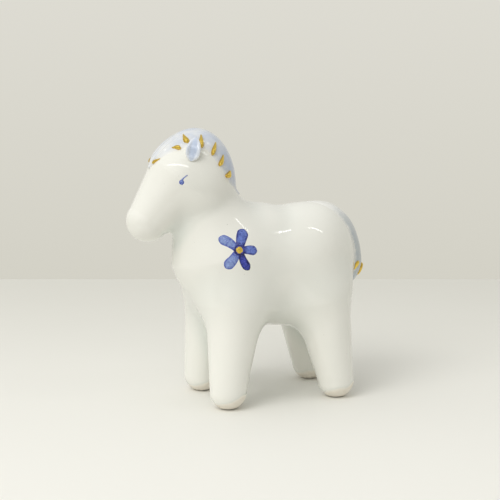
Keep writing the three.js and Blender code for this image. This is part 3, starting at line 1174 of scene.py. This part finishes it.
@dataclass(frozen=True)
class Petal:
    """One petal of the painted flower.

    Attributes:
        angle: where it points, in degrees.
        length: how far its tip is from the flower's middle.
        width: its greatest width.
        strength: how loaded the brush was.
        bend: how far it bows aside.
    """

    name: str
    angle: float
    length: float
    width: float
    strength: Strength
    bend: float = 0.0


@dataclass
class Flower:
    """Five brushed petals round a gilt boss, on the left flank.

    Attributes:
        centre: a place close to the flower's middle.
        boss_radius: the radius of the gilt boss.
        boss_height: its height.
        halo: how far the dark ring round it reaches past it.
        halo_height: how high the glaze stands over that ring.
        halo_sunk: how far the ring's edge goes into the body.
        cross_width: the width of the cross pressed into the boss, as a share of its radius.
        cross_slant: how far the cross is turned.
        cross_depth: how deep it is, as a share of the boss's height.
        root: how far from the flower's middle a petal starts.
        outline: a petal's width from its root to its tip, as shares of its full width.
    """

    centre: Triple = (-18.2, -18.3, 57.4)
    boss_radius: float = 1.35
    boss_height: float = 0.85
    halo: float = 0.6
    halo_height: float = 0.5
    halo_sunk: float = 0.06
    cross_width: float = 0.16
    cross_slant: float = 0.7
    cross_depth: float = 0.22
    root: float = 0.8
    outline: Profile = Profile((0.7, 0.76, 0.86, 0.95, 1, 0.98, 0.85))
    petals: tuple[Petal, ...] = (
        Petal("petal_top", 71, 8.0, 4.5, Strength.MIDDLE, 0.25),
        Petal("petal_front_top", 146, 8.2, 3.9, Strength.PALE, -0.5),
        Petal("petal_front_bottom", 229, 8.1, 4.1, Strength.PALE, 0.3),
        Petal("petal_bottom", 296, 7.8, 3.3, Strength.DEEP, -0.5),
        Petal("petal_back", 357, 6.6, 3.7, Strength.MIDDLE, 0.2),
    )

    def place(self, clay: Clay) -> tuple[Array, Array, Array]:
        """The flower's middle on the body, and its own directions to the right and up."""
        centre = clay.settle(np.array([self.centre], float), 6)
        out = clay.outward(centre)[0]
        right = np.cross((0, 0, 1), out)
        right /= np.linalg.norm(right)
        return centre[0], right, np.cross(out, right)

    def disc(self, clay: Clay, radius: float) -> Strip:
        """A round patch of the body about the flower's middle."""
        centre, right, _ = self.place(clay)
        line = Path((tuple(centre - right * radius), tuple(centre + right * radius)))

        def half_width(s: Array) -> Array:
            """Half the circle's width."""
            return radius * np.sqrt(np.clip(1 - (2 * s - 1) ** 2, 0.0004, 1))

        return Strip(clay, line, half_width)

    def build(self, shop: Shop, clay: Clay, gold: Material) -> None:
        """Makes and dresses the flower.

        Args:
            shop: where the pieces are made.
            clay: the body.
            gold: the boss's material.
        """
        centre, right, up = self.place(clay)
        for petal in self.petals:
            turn = math.radians(petal.angle)
            way = right * math.cos(turn) + up * math.sin(turn)
            aside = (up * math.cos(turn) - right * math.sin(turn)) * petal.bend
            middle = centre + way * (self.root + petal.length) / 2 + aside
            line = Path((tuple(centre + way * self.root), tuple(middle), tuple(centre + way * petal.length)))
            half_width = Profile(tuple(share * petal.width / 2 for share in self.outline.values))
            BrushStroke(petal.name, line, half_width, petal.strength, 0.72).build(shop, clay, petal.name)
        self.build_halo(shop, clay)
        self.build_boss(shop, clay, gold)

    def build_halo(self, shop: Shop, clay: Clay) -> None:
        """Makes the dark ring where the petals' roots run together under the boss."""

        def height(s: Array, v: Array) -> Array:
            """The glaze over the ring."""
            reach = (2 * s - 1) ** 2 + v**2 * (1 - (2 * s - 1) ** 2)
            return self.halo_height * (1 - np.clip(reach, 0, 1) ** 4) - self.halo_sunk

        strip = self.disc(clay, self.boss_radius + self.halo)
        piece = pillow(shop, "painted_flower_heart", strip, height, 24, 24)
        shop.hand_over(piece, CobaltStroke(Strength.DEEP).make(), "cobalt")

    def build_boss(self, shop: Shop, clay: Clay, gold: Material) -> None:
        """Makes the gilt boss, pressed with a small cross."""

        def height(s: Array, v: Array) -> Array:
            """The boss's dome, with two soft grooves."""
            x = 2 * s - 1
            y = v * np.sqrt(np.clip(1 - x**2, 0.0, 1))
            dome = self.boss_height * np.sqrt(np.clip(1 - x**2 - y**2, 0.0, 1))
            arms = (x + self.cross_slant * y, y - self.cross_slant * x)
            groove = sum(np.exp(-((arm / self.cross_width) ** 2)) for arm in arms)
            return dome * (1 - self.cross_depth * np.minimum(groove, 1))

        strip = self.disc(clay, self.boss_radius)
        piece = pillow(shop, "gilt_flower_eye", strip, height, 36, 36)
        shop.hand_over(piece, gold, "gilt", "flower_eye")


# --- The studio ---


@dataclass(frozen=True)
class Softbox:
    """An area light that looks at the figure.

    Attributes:
        name: the light's name.
        place: where its middle is.
        size: its length and width.
        power: its power in watts.
        lengthwise: the direction that its length runs in.
        mirrored: whether glossy things show it.
        tint: its colour.
    """

    name: str
    place: Triple
    size: tuple[float, float]
    power: float
    lengthwise: Triple = (1.0, 0.0, 0.0)
    mirrored: bool = True
    tint: Triple = (1.0, 0.99, 0.97)

    def build(self, target: Vector) -> None:
        """Hangs the light."""
        lamp = bpy.data.lights.new(self.name, "AREA")
        lamp.shape = "RECTANGLE"
        lamp.size, lamp.size_y = self.size
        lamp.energy = self.power
        lamp.color = self.tint
        light = bpy.data.objects.new(self.name, lamp)
        away = (Vector(self.place) - target).normalized()
        length = Vector(self.lengthwise)
        length = (length - away * length.dot(away)).normalized()
        light.matrix_world = Matrix((length, away.cross(length), away)).transposed().to_4x4()
        light.location = self.place
        light.visible_glossy = self.mirrored
        bpy.context.scene.collection.objects.link(light)


@dataclass
class Studio:
    """A pale table in a pale room, soft lights and the camera.

    Attributes:
        target: the point that the camera looks at.
        back: the direction from there to the camera.
        distance: how far away it is.
        lens: its focal length in millimetres on the sensor.
        sensor: the sensor's side in millimetres.
        shift: how far the picture is shifted, in its own widths.
        table_reach: the distance from the target to the table's edges.
        table_edge: the radius of the table's rounded edge.
        table_depth: how far down its side goes.
        edge_steps: how many facets the rounded edge has.
        front_shade: how bright the room behind the camera is, as a share of the rest.
        wall: the room's colours by height, as the upward part of a direction.
        window: the direction of the window.
        window_glow: how much brighter the room is there.
        softboxes: the lights.
    """

    target: Triple = (0.0076, 0.0, 0.049)
    back: Triple = (-0.380, -0.9066, 0.1836)
    distance: float = 0.5171
    lens: float = 70.0
    sensor: float = 24.0
    shift: tuple[float, float] = (-0.0364, 0.0173)
    table_reach: float = 0.2175
    table_edge: float = 0.012
    table_depth: float = 0.04
    edge_steps: int = 10
    front_shade: float = 0.55
    wall: tuple[tuple[float, Triple], ...] = (
        (-0.194, (0.655, 0.64, 0.566)),
        (-0.008, (0.725, 0.71, 0.645)),
        (0.4, (0.68, 0.67, 0.62)),
        (1.0, (0.66, 0.66, 0.64)),
    )
    window: Triple = (-0.62, -0.42, 0.66)
    window_glow: float = 0.7
    softboxes: tuple[Softbox, ...] = (
        Softbox("left_window", (-0.68, -0.4, 0.82), (0.65, 0.65), 4.7, mirrored=False),
        Softbox("overhead", (-0.46, 0.2, 1.13), (1.2, 1.2), 2.0, mirrored=False),
        Softbox("right_strip", (0.455, -0.466, 0.95), (0.44, 0.025), 0.32, (1.0, -0.396, 0.0)),
        Softbox("left_strip", (-0.625, -0.69, 0.95), (1.36, 0.06), 1.15, (0.65, -1.2, 0.0)),
    )

    def build_camera(self) -> None:
        """Sets the camera up."""
        camera = bpy.data.cameras.new("camera")
        camera.lens = self.lens
        camera.sensor_width = self.sensor
        camera.shift_x, camera.shift_y = self.shift
        holder = bpy.data.objects.new("camera", camera)
        back = Vector(self.back).normalized()
        holder.location = Vector(self.target) + back * self.distance
        holder.rotation_mode = "QUATERNION"
        holder.rotation_quaternion = back.to_track_quat("Z", "Y")
        bpy.context.scene.collection.objects.link(holder)
        bpy.context.scene.camera = holder

    def build_room(self) -> None:
        """Lights the room: a pale wall, brighter overhead and about the window, darker behind the camera."""
        book = NodeBook(bpy.data.worlds.new("room"))

        def toward(direction: Triple) -> Wire:
            """How much a direction in the room agrees with another one."""
            return book.toward("Generated", Vector(direction).normalized())

        height = toward((0.0, 0.0, 1.0))
        colour = self.wall[0][1]
        for (start, _), (end, shade) in pairwise(self.wall):
            colour = book.mix((height - start) / (end - start), colour, shade)
        behind = toward((self.back[0], self.back[1], 0.0)).rise(-0.5, 0.9)
        window = toward(self.window).rise(0.68, 1.0) * self.window_glow
        strength = 1.0 - behind * (1.0 - self.front_shade) + window
        glow = book.add("ShaderNodeBackground", {}, {"Color": colour, "Strength": strength})
        book.add("ShaderNodeOutputWorld", {}, {"Surface": glow})
        bpy.context.scene.world = book.owner

    def build_table(self) -> None:
        """Makes the table: a flat top with a rounded edge, square to the camera."""
        back = Vector((self.back[0], self.back[1], 0.0)).normalized()
        side = Vector((-back.y, back.x, 0.0))
        centre = Vector((self.target[0], self.target[1], 0.0))
        radius = self.table_edge
        flat = self.table_reach - radius
        angles = (math.pi / 2 * i / self.edge_steps for i in range(1, self.edge_steps + 1))
        rings = [(flat, 0.0), *((flat + radius * math.sin(a), radius * math.cos(a) - radius) for a in angles)]
        rings.append((self.table_reach, -self.table_depth))
        corners = ((1, 1), (-1, 1), (-1, -1), (1, -1))
        points = [
            centre + side * x * reach + back * y * reach + Vector((0, 0, z))
            for reach, z in rings
            for x, y in corners
        ]
        faces = [(0, 1, 2, 3), tuple(range(len(points) - 4, len(points)))[::-1]]
        for i in range(len(rings) - 1):
            for j in range(4):
                k = (j + 1) % 4
                faces.append((4 * i + k, 4 * i + j, 4 * i + 4 + j, 4 * i + 4 + k))
        mesh = bpy.data.meshes.new("table")
        mesh.from_pydata(points, [], faces)
        mesh.shade_smooth()
        mesh.polygons[0].use_smooth = False
        table = bpy.data.objects.new("table", mesh)
        bpy.context.scene.collection.objects.link(table)
        mesh.materials.append(PaleBoard().make(back))

    def build(self) -> None:
        """Builds the whole studio."""
        self.build_camera()
        self.build_room()
        self.build_table()
        for softbox in self.softboxes:
            softbox.build(Vector(self.target))
        bpy.context.scene.view_settings.view_transform = "Standard"


def ear_wash(name: str) -> BlueWash:
    """The paler wash of an ear, bluest low down in its cup, with painted shade down the middle of the cup."""
    thin, middle, deep = (0.86, 0.865, 0.85), (0.74, 0.79, 0.88), (0.55, 0.635, 0.81)
    return BlueWash(f"ear_wash_{name}", thin, middle, deep, start=1.35, end=0.4)


def main() -> None:
    """Builds the horse and the studio."""
    logging.basicConfig(level=logging.INFO, format="%(name)s: %(message)s")
    shop = Shop(np.array((7.6, 0.0, -1.0)) * MM)
    body = HorseBody()
    clay = body.clay()
    gold = GoldLustre().make()
    body.build(shop, clay)
    mane().build(shop, clay, gold)
    tail().build(shop, clay, gold)
    for name, side, tip in (("left", -1, (-29.8, 8.2, 94.1)), ("right", 1, (-29.6, 8.8, 92.7))):
        Ear(f"ear_{name}", side, ear_wash(name), tip=tip).build(shop, clay)
        Eye(side, f"eye_{name}").build(shop, clay)
    Flower().build(shop, clay, gold)
    Studio().build()
    LOG.info("%d pieces", len(shop.names))


if __name__ == "__main__":
    main()
